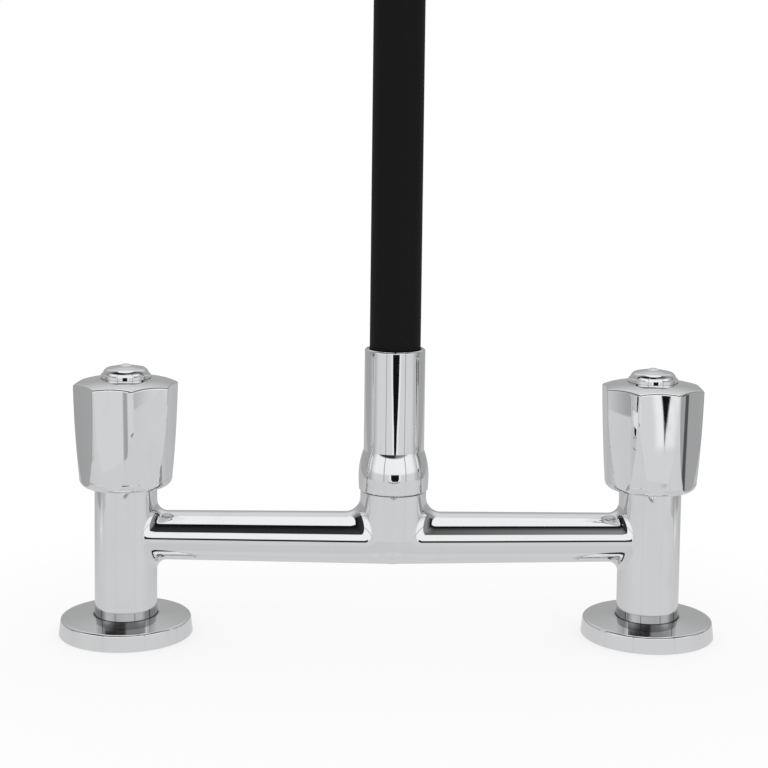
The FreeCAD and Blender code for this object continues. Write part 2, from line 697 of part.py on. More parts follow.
def index_button():
    seat = BUTTON_SEAT_Z
    ring_top = seat + BUTTON_RING_H
    dome_top = ring_top + BUTTON_DOME_H
    spigot_foot = seat - BUTTON_SPIGOT_L
    inner_r = BUTTON_SPIGOT_R - BUTTON_WALL
    cheek = (BUTTON_CHEEK_R, ring_top + BUTTON_CHEEK_H)
    shoulder = (BUTTON_SHOULDER_R, ring_top + BUTTON_SHOULDER_H)
    nub_edge = (BUTTON_NUB_R, dome_top)
    return turned(
        (inner_r, spigot_foot),
        (BUTTON_SPIGOT_R, spigot_foot),
        (BUTTON_SPIGOT_R, seat),
        (BUTTON_RING_R, seat),
        (BUTTON_RING_R, ring_top - GAP),
        (BUTTON_RING_R - GAP, ring_top),
        (BUTTON_DOME_R, ring_top),
        (cheek, shoulder),
        axis_arc(shoulder, nub_edge),
        axis_arc(nub_edge, (0, dome_top + BUTTON_NUB_H)),
        (0, ring_top - BUTTON_WALL / 2),
        (inner_r, ring_top - BUTTON_WALL),
    )


# ---------------------------------------------------------------- spout foot
def arc_radius(rise, fall):
    """Radius of the arc that falls away from a tangent by fall over a length of rise."""
    return (rise * rise + fall * fall) / (2 * fall)


def bulge_point(widest_r, radius, rise):
    return widest_r - radius + math.sqrt(radius * radius - rise * rise)


def spout_sleeve():
    sleeve_r = SLEEVE_D / 2
    widest = BULGE_D / 2
    foot_r = BULGE_FOOT_D / 2
    bend = arc_radius(BULGE_ARC_H, widest - sleeve_r)
    upper_mid = (bulge_point(widest, bend, BULGE_ARC_H / 2), BULGE_Z + BULGE_ARC_H / 2)
    lower_rise = BULGE_Z - SLEEVE_FOOT - RISER_EDGE_R
    foot_bend = arc_radius(lower_rise, widest - foot_r)
    lower_mid = (bulge_point(widest, foot_bend, lower_rise / 2), BULGE_Z - lower_rise / 2)
    return turned(
        (TAIL_D / 2 + FIT, SLEEVE_FOOT),
        (foot_r - RISER_EDGE_R, SLEEVE_FOOT),
        (foot_r, SLEEVE_FOOT + RISER_EDGE_R),
        (lower_mid, (widest, BULGE_Z)),
        (upper_mid, (sleeve_r, BULGE_Z + BULGE_ARC_H)),
        (sleeve_r, SLEEVE_TOP - SLEEVE_LIP_R),
        round_edge(sleeve_r, SLEEVE_TOP, SLEEVE_LIP_R, 1, 1),
        (SLEEVE_MOUTH_D / 2, SLEEVE_TOP),
        (HOSE_SOCKET_R, SLEEVE_TOP - SLEEVE_MOUTH_H),
        (HOSE_SOCKET_R, TAIL_SHOULDER),
        (TAIL_D / 2 + FIT, TAIL_SHOULDER),
    )


def barb(shoulder):
    """Outline points of a hose barb that stands up from a shoulder."""
    barb_r = WATER_TUBE_BORE_D / 2 - FIT
    root_r = barb_r - BARB_DEPTH
    tooth = TAIL_BARB_L / (BARB_TEETH + 1)
    points = [(root_r, shoulder)]
    for k in range(BARB_TEETH):
        crest = shoulder + (k + 1) * tooth
        points += [(barb_r, crest), (root_r, crest + GAP)]
    return points + [(root_r, shoulder + TAIL_BARB_L)]


def spout_tail():
    plug_r = TAIL_D / 2
    bore = TAIL_BORE_D / 2
    clip_r = plug_r - SWIVEL_GROOVE_DEPTH
    tail = turned(
        (bore, TAIL_BOTTOM),
        (plug_r - GAP, TAIL_BOTTOM),
        (plug_r, TAIL_BOTTOM + GAP),
        (plug_r, SWIVEL_GROOVE_Z),
        (clip_r, SWIVEL_GROOVE_Z),
        (clip_r, SWIVEL_GROOVE_Z + SWIVEL_GROOVE_H),
        (plug_r, SWIVEL_GROOVE_Z + SWIVEL_GROOVE_H),
        (plug_r, TAIL_SHOULDER),
        *barb(TAIL_SHOULDER),
        (bore, TAIL_SHOULDER + TAIL_BARB_L),
    )
    half = SWIVEL_RING_WIRE_D / 2 + FIT
    floor_r = plug_r - SWIVEL_RING_WIRE_D - FIT
    outside_r = plug_r + OVERSHOOT
    return tail.cut([ring(outside_r, floor_r, z - half, z + half) for z in SWIVEL_RING_Z])


def swivel_o_rings():
    major = TAIL_D / 2 - SWIVEL_RING_WIRE_D / 2 - FIT / 2
    return [o_ring(major, SWIVEL_RING_WIRE_D, z) for z in SWIVEL_RING_Z]


def swivel_clip():
    bottom = SWIVEL_GROOVE_Z + (SWIVEL_GROOVE_H - SWIVEL_CLIP_T) / 2
    inner = TAIL_D / 2 - SWIVEL_GROOVE_DEPTH + 2 * FIT
    outer = RISER_SOCKET_R + SWIVEL_GROOVE_DEPTH - FIT
    return c_clip(outer, inner, bottom, bottom + SWIVEL_CLIP_T, CLIP_MOUTH_DEG / 2)


# ---------------------------------------------------------------- flexible spout
def spout_path():
    foot = Vector(0, 0, HOSE_FOOT)
    arch_foot = Vector(0, 0, ARCH_START)
    crown = Vector(0, -ARCH_R, ARCH_START + ARCH_R)
    arch_end = Vector(0, -REACH, ARCH_START)
    end = Vector(0, -REACH, HOSE_END)
    return Part.Wire(
        [
            Part.LineSegment(foot, arch_foot).toShape(),
            Part.Arc(arch_foot, crown, arch_end).toShape(),
            Part.LineSegment(arch_end, end).toShape(),
        ]
    )


def along_spout(diameter):
    section = Part.makeCircle(diameter / 2, Vector(0, 0, HOSE_FOOT), Vector(0, 0, 1))
    return spout_path().makePipeShell([Part.Wire(section)], True, False)


def spout_layer(outer_d, bore_d):
    return along_spout(outer_d).cut(along_spout(bore_d))


# ---------------------------------------------------------------- outlet
def outlet_sleeve():
    sleeve_r = SLEEVE_D / 2
    widest = BULGE_D / 2
    bend = arc_radius(BULGE_ARC_H, widest - sleeve_r)
    bulge_z = OUTLET_FOOT + BULGE_Z - SLEEVE_FOOT
    upper_mid = (bulge_point(widest, bend, BULGE_ARC_H / 2), bulge_z + BULGE_ARC_H / 2)
    thread_r = AERATOR_THREAD_D / 2 + FIT / 2
    seat = OUTLET_SHOULDER - OUTLET_TAIL_FLANGE
    return turned(
        (thread_r, OUTLET_FOOT),
        (widest - RISER_EDGE_R, OUTLET_FOOT),
        (widest, OUTLET_FOOT + RISER_EDGE_R),
        (widest, bulge_z),
        (upper_mid, (sleeve_r, bulge_z + BULGE_ARC_H)),
        (sleeve_r, OUTLET_MOUTH - SLEEVE_LIP_R),
        round_edge(sleeve_r, OUTLET_MOUTH, SLEEVE_LIP_R, 1, 1),
        (SLEEVE_MOUTH_D / 2, OUTLET_MOUTH),
        (HOSE_SOCKET_R, OUTLET_MOUTH - SLEEVE_MOUTH_H),
        (HOSE_SOCKET_R, OUTLET_SHOULDER),
        (TAIL_D / 2 + FIT, OUTLET_SHOULDER),
        (TAIL_D / 2 + FIT, seat),
        (thread_r, seat),
    )


def outlet_tail():
    bore = TAIL_BORE_D / 2
    seat = OUTLET_SHOULDER - OUTLET_TAIL_FLANGE
    return turned(
        (bore, seat),
        (TAIL_D / 2, seat),
        (TAIL_D / 2, OUTLET_SHOULDER),
        *barb(OUTLET_SHOULDER),
        (bore, OUTLET_SHOULDER + TAIL_BARB_L),
    )


def aerator_housing():
    rim_r = AERATOR_RIM_D / 2
    bore = AERATOR_BORE_D / 2
    groove_r = rim_r - RIM_GROOVE_DEPTH
    return turned(
        (bore - AERATOR_LIP, OUTLET_TIP),
        (rim_r - GAP, OUTLET_TIP),
        (rim_r, OUTLET_TIP + GAP),
        (rim_r, OUTLET_FOOT - RIM_GROOVE_H),
        (groove_r, OUTLET_FOOT - RIM_GROOVE_H),
        (groove_r, OUTLET_FOOT),
        (AERATOR_THREAD_D / 2, OUTLET_FOOT),
        (AERATOR_THREAD_D / 2, AERATOR_TOP),
        (bore, AERATOR_TOP),
        (bore, OUTLET_TIP + AERATOR_LIP),
        (bore - AERATOR_LIP, OUTLET_TIP + AERATOR_LIP),
    )


def grid_points():
    points = [(0.0, 0.0)]
    for k in range(1, GRID_RINGS + 1):
        for n in range(6 * k):
            angle = 2 * math.pi * n / (6 * k)
            points.append((k * GRID_PITCH * math.cos(angle), k * GRID_PITCH * math.sin(angle)))
    return points


def aerator_insert():
    bottom = OUTLET_TIP + AERATOR_LIP
    radius = AERATOR_BORE_D / 2 - FIT
    body = rod(radius, bottom, AERATOR_TOP)
    chamber = rod(radius - AERATOR_LIP, bottom + AERATOR_GRID_T, AERATOR_TOP)
    holes = [at(rod(GRID_HOLE_D / 2, bottom, AERATOR_TOP), x, y) for x, y in grid_points()]
    return body.cut([chamber] + holes)


def aerator_seal():
    outer = AERATOR_THREAD_D / 2 - FIT
    return ring(outer, AERATOR_SEAL_BORE_D / 2, AERATOR_TOP, AERATOR_TOP + AERATOR_SEAL_T)


# ---------------------------------------------------------------- assembly
def build():
    save("bridge_body", bridge_body())
    for side, x in COLUMN_XS.items():
        save(side + "_flange", at(flange(), x))
        save(side + "_flange_seal", at(flange_seal(), x))
        save(side + "_inlet_shank", at(inlet_shank(), x))
        save(side + "_valve_housing", at(valve_housing(), x))
        save(side + "_valve_head_seal", at(valve_head_seal(), x))
        save(side + "_valve_seat_seal", at(seat_seal(), x))
        save(side + "_fixed_disc", at(fixed_disc(), x))
        save(side + "_moving_disc", at(moving_disc(), x))
        save(side + "_spindle", at(spindle(), x))
        save(side + "_spindle_o_rings", Part.makeCompound([at(r, x) for r in spindle_o_rings()]))
        save(side + "_spindle_clip", at(spindle_clip(), x))
        save(side + "_handle", at(handle(FLUTE_DEGS[side]), x))
        save(side + "_handle_screw", at(handle_screw(), x))
        save(side + "_index_button", at(index_button(), x))
    fixings = {
        "under_deck_seals": under_deck_seal(),
        "fixing_washers": fixing_washer(),
        "backnuts": backnut(),
    }
    for name, piece in fixings.items():
        save(name, Part.makeCompound([at(piece, x) for x in COLUMN_XS.values()]))
    save("spout_sleeve", at(spout_sleeve(), RISER_X))
    save("spout_tail", at(spout_tail(), RISER_X))
    save("swivel_o_rings", Part.makeCompound([at(r, RISER_X) for r in swivel_o_rings()]))
    save("swivel_clip", at(swivel_clip(), RISER_X))
    save("spout_cover", at(spout_layer(HOSE_D, HOSE_BORE_D), RISER_X))
    save("spout_core", at(spout_layer(CORE_D, CORE_BORE_D), RISER_X))
    save("water_tube", at(spout_layer(WATER_TUBE_D, WATER_TUBE_BORE_D), RISER_X))
    save("outlet_sleeve", at(outlet_sleeve(), RISER_X, -REACH))
    save("outlet_tail", at(outlet_tail(), RISER_X, -REACH))
    save("aerator_housing", at(aerator_housing(), RISER_X, -REACH))
    save("aerator_insert", at(aerator_insert(), RISER_X, -REACH))
    save("aerator_seal", at(aerator_seal(), RISER_X, -REACH))


build()
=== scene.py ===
"""Looks of the two-hole bridge kitchen mixer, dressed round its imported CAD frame.

Lengths are in metres. The deck is at z = 0 and the user stands towards -Y.
"""
import json
import math
import bmesh
import bpy
import numpy as np
from mathutils import Matrix, Vector


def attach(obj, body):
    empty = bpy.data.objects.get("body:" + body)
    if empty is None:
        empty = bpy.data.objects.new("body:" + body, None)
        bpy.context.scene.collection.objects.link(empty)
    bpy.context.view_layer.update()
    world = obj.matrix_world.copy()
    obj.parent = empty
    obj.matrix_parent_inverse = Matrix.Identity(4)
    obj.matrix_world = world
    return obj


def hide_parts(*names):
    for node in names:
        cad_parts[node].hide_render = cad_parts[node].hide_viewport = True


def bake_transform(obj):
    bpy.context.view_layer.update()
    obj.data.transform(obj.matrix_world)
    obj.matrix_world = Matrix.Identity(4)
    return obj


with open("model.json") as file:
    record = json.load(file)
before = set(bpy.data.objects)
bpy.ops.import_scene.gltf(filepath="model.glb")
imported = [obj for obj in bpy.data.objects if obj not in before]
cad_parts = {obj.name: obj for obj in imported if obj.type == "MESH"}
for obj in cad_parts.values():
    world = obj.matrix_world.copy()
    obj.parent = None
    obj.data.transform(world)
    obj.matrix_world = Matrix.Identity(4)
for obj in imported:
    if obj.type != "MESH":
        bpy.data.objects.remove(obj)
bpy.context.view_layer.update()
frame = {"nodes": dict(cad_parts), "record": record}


# ---------------------------------------------------------------- sizes repeated from the part, metres
RISER_X = 0.0016                # the riser stands this far to the right of the middle
HOSE_FOOT = 0.0730
ARCH_START = 0.2850             # height at which the straight runs pass into the arch
ARCH_R = 0.0900
HOSE_END = 0.2580               # height of the hose's other end, in the outlet

# Outer radius, inner radius and material of each layer of the spout. The cover's outer radius is 0.08 mm
# under the part's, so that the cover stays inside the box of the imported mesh.
SPOUT_LAYERS = {
    "spout_cover": (0.00967, 0.00750, "black_silicone"),
    "spout_core": (0.00730, 0.00580, "steel"),
    "water_tube": (0.00560, 0.00395, "tube_plastic"),
}

COLUMN_X = 0.1000
COLUMN_R = 0.0118
BRIDGE_TOP = 0.0473             # the upper line of the bridge is level
ARM_MID_R = 0.00995             # the bridge tube tapers from the riser to the columns
ARM_END_R = 0.00915
ARM_MID_Z = BRIDGE_TOP - ARM_MID_R
ARM_END_Z = BRIDGE_TOP - ARM_END_R
RISER_R = 0.01255
HUB_Z = BRIDGE_TOP - 2 * ARM_MID_R + RISER_R    # centre of the riser's round foot
COLUMN_FILLET = 0.0042
HUB_FILLET = 0.0060


# ---------------------------------------------------------------- objects and meshes
def new_object(name, data):
    made = bpy.data.objects.new(name, data)
    bpy.context.scene.collection.objects.link(made)
    return made


def shade_smooth(mesh):
    for polygon in mesh.polygons:
        polygon.use_smooth = True


# ---------------------------------------------------------------- camera
PHOTO = 768                     # side of the photograph, in pixels
CAMERA_PLACE = (-0.0194, -0.6189, 0.2005)
CAMERA_YAW = math.radians(1.51)
CAMERA_PITCH = math.radians(4.94)
CAMERA_ROLL = math.radians(0.71)
CAMERA_FOCAL_PX = 1650.0
CAMERA_CENTRE_Y_PX = 251.8      # the photograph is the lower part of a taller picture
CAMERA_NEAR = 0.01
SENSOR_MM = 36.0


def add_camera():
    forward = Vector((
        math.sin(CAMERA_YAW) * math.cos(CAMERA_PITCH),
        math.cos(CAMERA_YAW) * math.cos(CAMERA_PITCH),
        -math.sin(CAMERA_PITCH),
    ))
    right = Vector((math.cos(CAMERA_YAW), -math.sin(CAMERA_YAW), 0))
    right = Matrix.Rotation(-CAMERA_ROLL, 3, forward) @ right
    up = right.cross(forward)
    data = bpy.data.cameras.new("camera")
    data.sensor_width = SENSOR_MM
    data.lens = CAMERA_FOCAL_PX / PHOTO * SENSOR_MM
    data.shift_y = (CAMERA_CENTRE_Y_PX - PHOTO / 2) / PHOTO
    data.clip_start = CAMERA_NEAR
    camera = new_object("camera", data)
    rotation = Matrix((right, up, -forward)).transposed()
    camera.matrix_world = Matrix.Translation(CAMERA_PLACE) @ rotation.to_4x4()
    bpy.context.scene.camera = camera


# ---------------------------------------------------------------- node graphs
class Graph:
    """Writes a shader's node graph as plain sums. A value is a number or the output of a node."""

    def __init__(self, tree):
        self.tree = tree
        tree.nodes.clear()

    def add(self, kind, **settings):
        node = self.tree.nodes.new(kind)
        for name, value in settings.items():
            setattr(node, name, value)
        return node

    def put(self, socket, value):
        if isinstance(value, bpy.types.NodeSocket):
            self.tree.links.new(value, socket)
        else:
            socket.default_value = value

    def math(self, operation, *values):
        node = self.add("ShaderNodeMath", operation=operation)
        for socket, value in zip(node.inputs, values):
            self.put(socket, value)
        return node.outputs[0]

    def inverse(self, value):
        """1 less the value."""
        return self.math("SUBTRACT", 1.0, value)

    def times(self, first, second):
        return self.math("MULTIPLY", first, second)

    def apart(self, value, middle):
        """How far value is from middle, on either side."""
        return self.math("ABSOLUTE", self.math("SUBTRACT", value, middle))

    def length(self, x, y):
        """Length of the arrow (x, y)."""
        return self.math("SQRT", self.math("ADD", self.times(x, x), self.times(y, y)))

    def step(self, value, low, high):
        """0 below low, 1 above high, smooth between."""
        node = self.add("ShaderNodeMapRange", interpolation_type="SMOOTHSTEP")
        self.put(node.inputs["Value"], value)
        node.inputs["From Min"].default_value = low
        node.inputs["From Max"].default_value = high
        return node.outputs["Result"]

    def fall(self, value, low, high):
        """1 below low, 0 above high, smooth between."""
        return self.inverse(self.step(value, low, high))

    def band(self, value, low, high, soft):
        """1 between low and high, 0 outside."""
        rise = self.step(value, low - soft, low + soft)
        return self.times(rise, self.fall(value, high - soft, high + soft))

    def mix(self, factor, first, second):
        """Number between first and second."""
        return self.math("ADD", self.times(first, self.inverse(factor)), self.times(second, factor))

    def remap(self, value, low, high):
        """Takes 0 to 1 to low to high."""
        node = self.add("ShaderNodeMapRange")
        self.put(node.inputs["Value"], value)
        node.inputs["To Min"].default_value = low
        node.inputs["To Max"].default_value = high
        return node.outputs["Result"]

    def split(self, where):
        node = self.add("ShaderNodeSeparateXYZ")
        self.put(node.inputs[0], where)
        return node.outputs

    def stretch(self, where, x, y, z):
        node = self.add("ShaderNodeMapping")
        self.put(node.inputs["Vector"], where)
        node.inputs["Scale"].default_value = (x, y, z)
        return node.outputs["Vector"]

    def noise(self, where, scale, detail, roughness):
        node = self.add("ShaderNodeTexNoise")
        self.put(node.inputs["Vector"], where)
        node.inputs["Scale"].default_value = scale
        node.inputs["Detail"].default_value = detail
        node.inputs["Roughness"].default_value = roughness
        return node.outputs["Fac"]

    def colour(self, factor, first, second):
        """Colour between first and second, each three numbers or the output of a node."""
        node = self.add("ShaderNodeMix", data_type="RGBA")
        self.put(node.inputs[0], factor)
        for socket, value in ((node.inputs[6], first), (node.inputs[7], second)):
            self.put(socket, value if isinstance(value, bpy.types.NodeSocket) else (*value, 1.0))
        return node.outputs[2]

    def bump(self, height, distance):
        node = self.add("ShaderNodeBump")
        self.put(node.inputs["Height"], height)
        node.inputs["Distance"].default_value = distance
        node.inputs["Strength"].default_value = 1.0
        return node.outputs["Normal"]

    def mix_shader(self, factor, first, second):
        node = self.add("ShaderNodeMixShader")
        self.put(node.inputs[0], factor)
        self.tree.links.new(first, node.inputs[1])
        self.tree.links.new(second, node.inputs[2])
        return node.outputs[0]

    def emission(self, level):
        node = self.add("ShaderNodeEmission")
        self.put(node.inputs["Strength"], level)
        return node.outputs[0]


# ---------------------------------------------------------------- studio
# The chrome mirrors screens that stand round the part, laid out by direction, in degrees. A turn is 0
# towards the front (-Y) and grows to the right, and a rise is the height over the horizon. A pair is the
# range over which one brightness passes into the next, or the two brightnesses.
DEGREES = 180.0 / math.pi       # degrees in a radian

FRONT_RISE = (-4.0, 1.0)        # the front screen is brighter over the horizon
FRONT_LEVELS = (0.74, 1.0)
SIDE_TURN = (62.0, 92.0)
SIDE_LEVEL = 0.40
REAR_TURN = (100.0, 150.0)      # grey wall behind, lighter upwards
REAR_RISE = (14.0, 44.0)
REAR_LEVELS = (0.42, 0.76)
LEFT_END_TURN = -96.0           # black strips at the ends of the front screen
RIGHT_END_TURN = 104.0
END_HALF = (1.4, 2.8)           # half their width, to where they are black and where they end
END_LEVEL = 0.09
JOINT_OFF = 36.0                # grey joints in the front screen, this far to each side of the dark gap
JOINT_HALF = (0.8, 2.2)
JOINT_LEVEL = 0.40

BAND_FOOT = 25.0                # black band over the front screen
BAND_TOP = 65.0
BAND_SOFT = 1.5
BAND_END = (75.0, 100.0)
BAND_TURN = (-2.0, 14.0)        # its lower half is lighter towards the right
BAND_LEVELS = (0.03, 0.26)
BAND_UPPER_RISE = (36.0, 60.0)
BAND_UPPER_LEVEL = 0.006
OVERHEAD_SOFT = 4.0             # the soft box overhead starts at the top of the band
OVERHEAD_LEVEL = 1.0

GAP_TURN = 3.0                  # dark gap in the front screen, pointed at its foot
GAP_HALF = 13.0
GAP_FOOT = -14.3
GAP_FOOT_SOFT = 0.5
GAP_WIDE = -8.0                 # it has its whole width from here up
GAP_TOP = -1.5
GAP_TOP_SOFT = 1.0
GAP_EDGE = (-0.6, 0.6)
GAP_LEVEL = 0.008
GLOW_EDGE = (-8.0, -3.0)        # bright rim round the gap, from its edge, where outside is negative
GLOW_SHARE = 0.85
GLOW_LEVEL = 1.0

LIGHT_LEVEL = 0.95              # what lights the surfaces, apart from what they mirror
BACKDROP_LEVEL = 1.0


def screen_level(net, rise, turn):
    """Brightness of the front, side and rear screens, with the strips and joints between them."""
    away = net.math("ABSOLUTE", turn)
    front = net.mix(net.step(rise, *FRONT_RISE), *FRONT_LEVELS)
    level = net.mix(net.step(away, *SIDE_TURN), front, SIDE_LEVEL)
    rear = net.step(away, *REAR_TURN)
    level = net.mix(rear, level, net.mix(net.step(rise, *REAR_RISE), *REAR_LEVELS))

    from_end = net.math("MINIMUM", net.apart(turn, LEFT_END_TURN), net.apart(turn, RIGHT_END_TURN))
    level = net.mix(net.fall(from_end, *END_HALF), level, END_LEVEL)

    joint = net.fall(net.apart(net.apart(turn, GAP_TURN), JOINT_OFF), *JOINT_HALF)
    return net.mix(net.times(joint, net.inverse(rear)), level, JOINT_LEVEL)


def with_overhead(net, rise, turn, level):
    """Lays the black band and the soft box over the upper part of the screens."""
    band = net.band(rise, BAND_FOOT, BAND_TOP, BAND_SOFT)
    front = net.fall(net.math("ABSOLUTE", turn), *BAND_END)
    band_level = net.mix(net.step(turn, *BAND_TURN), *BAND_LEVELS)
    band_level = net.mix(net.step(rise, *BAND_UPPER_RISE), band_level, BAND_UPPER_LEVEL)
    level = net.mix(net.times(band, front), level, band_level)
    return net.mix(net.step(rise, BAND_TOP, BAND_TOP + OVERHEAD_SOFT), level, OVERHEAD_LEVEL)


def with_dark_gap(net, rise, turn, level):
    """Cuts the dark gap with its bright rim into the front screen."""
    width = net.mix(net.step(rise, GAP_FOOT, GAP_WIDE), 0.0, GAP_HALF)
    edge = net.math("SUBTRACT", width, net.apart(turn, GAP_TURN))
    above = net.step(rise, GAP_FOOT, GAP_FOOT + GAP_FOOT_SOFT)
    below = net.fall(rise, GAP_TOP - GAP_TOP_SOFT, GAP_TOP + GAP_TOP_SOFT)
    upright = net.times(above, below)
    glow = net.times(net.step(edge, *GLOW_EDGE), upright)
    level = net.mix(net.times(glow, GLOW_SHARE), level, GLOW_LEVEL)
    return net.mix(net.times(net.step(edge, *GAP_EDGE), upright), level, GAP_LEVEL)


def studio_level(net):
    """Brightness of the studio that the chrome mirrors, by direction."""
    x, y, z = net.split(net.add("ShaderNodeTexCoord").outputs["Generated"])
    rise = net.times(net.math("ARCSINE", z), DEGREES)
    turn = net.times(net.math("ARCTAN2", x, net.times(y, -1.0)), DEGREES)
    level = screen_level(net, rise, turn)
    level = with_overhead(net, rise, turn, level)
    return with_dark_gap(net, rise, turn, level)


def add_world():
    world = bpy.data.worlds.new("studio")
    world.use_nodes = True
    net = Graph(world.node_tree)
    path = net.add("ShaderNodeLightPath")
    mirrored = net.math("MAXIMUM", path.outputs["Is Glossy Ray"], path.outputs["Is Transmission Ray"])
    level = net.mix(mirrored, LIGHT_LEVEL, studio_level(net))
    level = net.mix(path.outputs["Is Camera Ray"], level, BACKDROP_LEVEL)
    background = net.add("ShaderNodeBackground")
    background.inputs["Color"].default_value = (1, 1, 1, 1)
    net.put(background.inputs["Strength"], level)
    output = net.add("ShaderNodeOutputWorld")
    net.tree.links.new(background.outputs[0], output.inputs["Surface"])
    bpy.context.scene.world = world


# ---------------------------------------------------------------- table
# The camera sees it white, with a share of the part's shadow near the part. The chrome mirrors it as grey
# cloth that ends in a painted shadow, a dark line, at the front. Lengths are in metres.
FLOOR_R = 0.90
FLOOR_SIDES = 96
FLOOR_Z = -0.0001               # just under the seals of the flanges
FLOOR_WHITE = 0.95
SEEN_LEVEL = 1.03
SHADOW_SHARE = 0.30
SHADOW_REACH = (0.14, 0.32)     # the shadow fades out over this distance from the middle
CLOTH_Y = (-0.02, 0.16)
CLOTH_LEVELS = (0.69, 0.54)
CLOTH_MOTTLE = 0.06
GLOSS_SHARE = 0.06
GLOSS_WHITE = 0.90
GLOSS_ROUGHNESS = 0.10
TABLE_FRONT_Y = -0.25
TABLE_FRONT_SOFT = 0.002
TABLE_HALF_W = 0.30
TABLE_SIDE_SOFT = 0.01
EDGE_SHADOW_W = 0.009                  # painted shadow: a dark line along the front edge
EDGE_SHADOW_HALF = (0.08, 0.13)        # it fades out over this distance from the middle
EDGE_SHADOW_SHARE = 0.6
EDGE_SHADOW_LEVEL = 0.03


def seen_table(net, x, y, matt):
    """The table as the camera sees it."""
    share = net.mix(net.step(net.length(x, y), *SHADOW_REACH), SHADOW_SHARE, 0.0)
    return net.mix_shader(share, net.emission(SEEN_LEVEL), matt)


def mirrored_table(net, place, x, y):
    """The table as the chrome mirrors it, with a painted shadow along its front edge."""
    sideways = net.math("ABSOLUTE", x)
    cloth = net.noise(place, scale=6.0, detail=2.0, roughness=0.5)
    grey = net.mix(net.step(y, *CLOTH_Y), *CLOTH_LEVELS)
    grey = net.math("ADD", grey, net.times(net.math("SUBTRACT", cloth, 0.5), CLOTH_MOTTLE))
    gloss = net.add("ShaderNodeBsdfGlossy")
    gloss.inputs["Color"].default_value = (GLOSS_WHITE, GLOSS_WHITE, GLOSS_WHITE, 1)
    gloss.inputs["Roughness"].default_value = GLOSS_ROUGHNESS
    table = net.mix_shader(GLOSS_SHARE, net.emission(grey), gloss.outputs[0])

    # painted shadow: a dark line along the table's front edge
    line = net.band(y, TABLE_FRONT_Y, TABLE_FRONT_Y + EDGE_SHADOW_W, TABLE_FRONT_SOFT)
    line = net.times(line, net.fall(sideways, *EDGE_SHADOW_HALF))
    table = net.mix_shader(net.times(line, EDGE_SHADOW_SHARE), table, net.emission(EDGE_SHADOW_LEVEL))

    behind_front = net.step(y, TABLE_FRONT_Y, TABLE_FRONT_Y + TABLE_FRONT_SOFT)
    between_sides = net.fall(sideways, TABLE_HALF_W, TABLE_HALF_W + TABLE_SIDE_SOFT)
    clear = net.add("ShaderNodeBsdfTransparent")
    return net.mix_shader(net.times(behind_front, between_sides), clear.outputs[0], table)


def floor_material():
    material = bpy.data.materials.new("table")
    material.use_nodes = True
    net = Graph(material.node_tree)
    path = net.add("ShaderNodeLightPath")
    place = net.add("ShaderNodeTexCoord").outputs["Object"]
    x, y, _ = net.split(place)
    matt = net.add("ShaderNodeBsdfDiffuse")
    matt.inputs["Color"].default_value = (FLOOR_WHITE, FLOOR_WHITE, FLOOR_WHITE, 1)
    mirrored = mirrored_table(net, place, x, y)
    shader = net.mix_shader(path.outputs["Is Glossy Ray"], matt.outputs[0], mirrored)
    seen = seen_table(net, x, y, matt.outputs[0])
    shader = net.mix_shader(path.outputs["Is Camera Ray"], shader, seen)
    output = net.add("ShaderNodeOutputMaterial")
    net.tree.links.new(shader, output.inputs["Surface"])
    return material


def add_floor():
    mesh = bpy.data.meshes.new("floor")
    shape = bmesh.new()
    bmesh.ops.create_circle(shape, cap_ends=True, segments=FLOOR_SIDES, radius=FLOOR_R)
    shape.to_mesh(mesh)
    shape.free()
    mesh.materials.append(floor_material())
    floor = new_object("floor", mesh)
    floor.location.z = FLOOR_Z


# ---------------------------------------------------------------- materials
# A pair is the range of colour or roughness that a material's noise runs through, or, where it is an
# edge, the part of the noise over which one passes into the other. A depth is that of the relief.
WIPE_EDGE = (0.52, 0.80)
PLATE_COLOURS = ((0.845, 0.850, 0.862), (0.80, 0.805, 0.815))       # clear, and dulled by wiping
PLATE_ROUGHNESS = (0.022, 0.085)
PLATE_DEPTH = 0.00004
# painted dark reflection: the chrome's colour is darkened in a ring at the foot of each column
PAINTED_REFLECTION_COLOUR = (0.30, 0.30, 0.31)
PAINTED_REFLECTION_TOP = 0.0108              # painted dark reflection, a ring where each column meets its flange
PAINTED_REFLECTION_R = 0.0126
PAINTED_REFLECTION_SOFT = 0.0003
PAINTED_REFLECTION_PATCHES = (0.45, 1.0)
SILICONE_COLOURS = ((0.0030, 0.0030, 0.0034), (0.0052, 0.0052, 0.0057))
SILICONE_ROUGHNESS = (0.52, 0.72)
SILICONE_DEPTH = 0.00003
RUBBER_COLOURS = ((0.014, 0.014, 0.015), (0.034, 0.033, 0.032))
RUBBER_ROUGHNESS = (0.6, 0.85)
RUBBER_DEPTH = 0.00005
BRASS_COLOURS = ((0.60, 0.42, 0.17), (0.78, 0.59, 0.29))
STEEL_COLOURS = ((0.50, 0.50, 0.51), (0.66, 0.66, 0.67))
MACHINED_SPREAD = (-0.06, 0.12)     # roughness, added to the material's own
MACHINED_DEPTH = 0.000012
RING_SHARE = 0.35               # height of the turned rings, as a share of the scratches
BRASS_RING = 0.0005             # distance from ring to ring
STEEL_RING = 0.0004
CERAMIC_COLOURS = ((0.80, 0.79, 0.75), (0.62, 0.61, 0.58))
CERAMIC_ROUGHNESS = (0.10, 0.22)
SPECK_EDGE = (0.6, 0.75)
FIBRE_COLOURS = ((0.30, 0.07, 0.045), (0.52, 0.17, 0.11))
FIBRE_ROUGHNESS = (0.7, 0.95)
FIBRE_DEPTH = 0.00006
TUBE_COLOURS = ((0.74, 0.74, 0.71), (0.84, 0.84, 0.82))
GREY_COLOURS = ((0.26, 0.26, 0.27), (0.36, 0.36, 0.37))
MOULDED_SPREAD = (-0.08, 0.10)
MOULDED_DEPTH = 0.00002


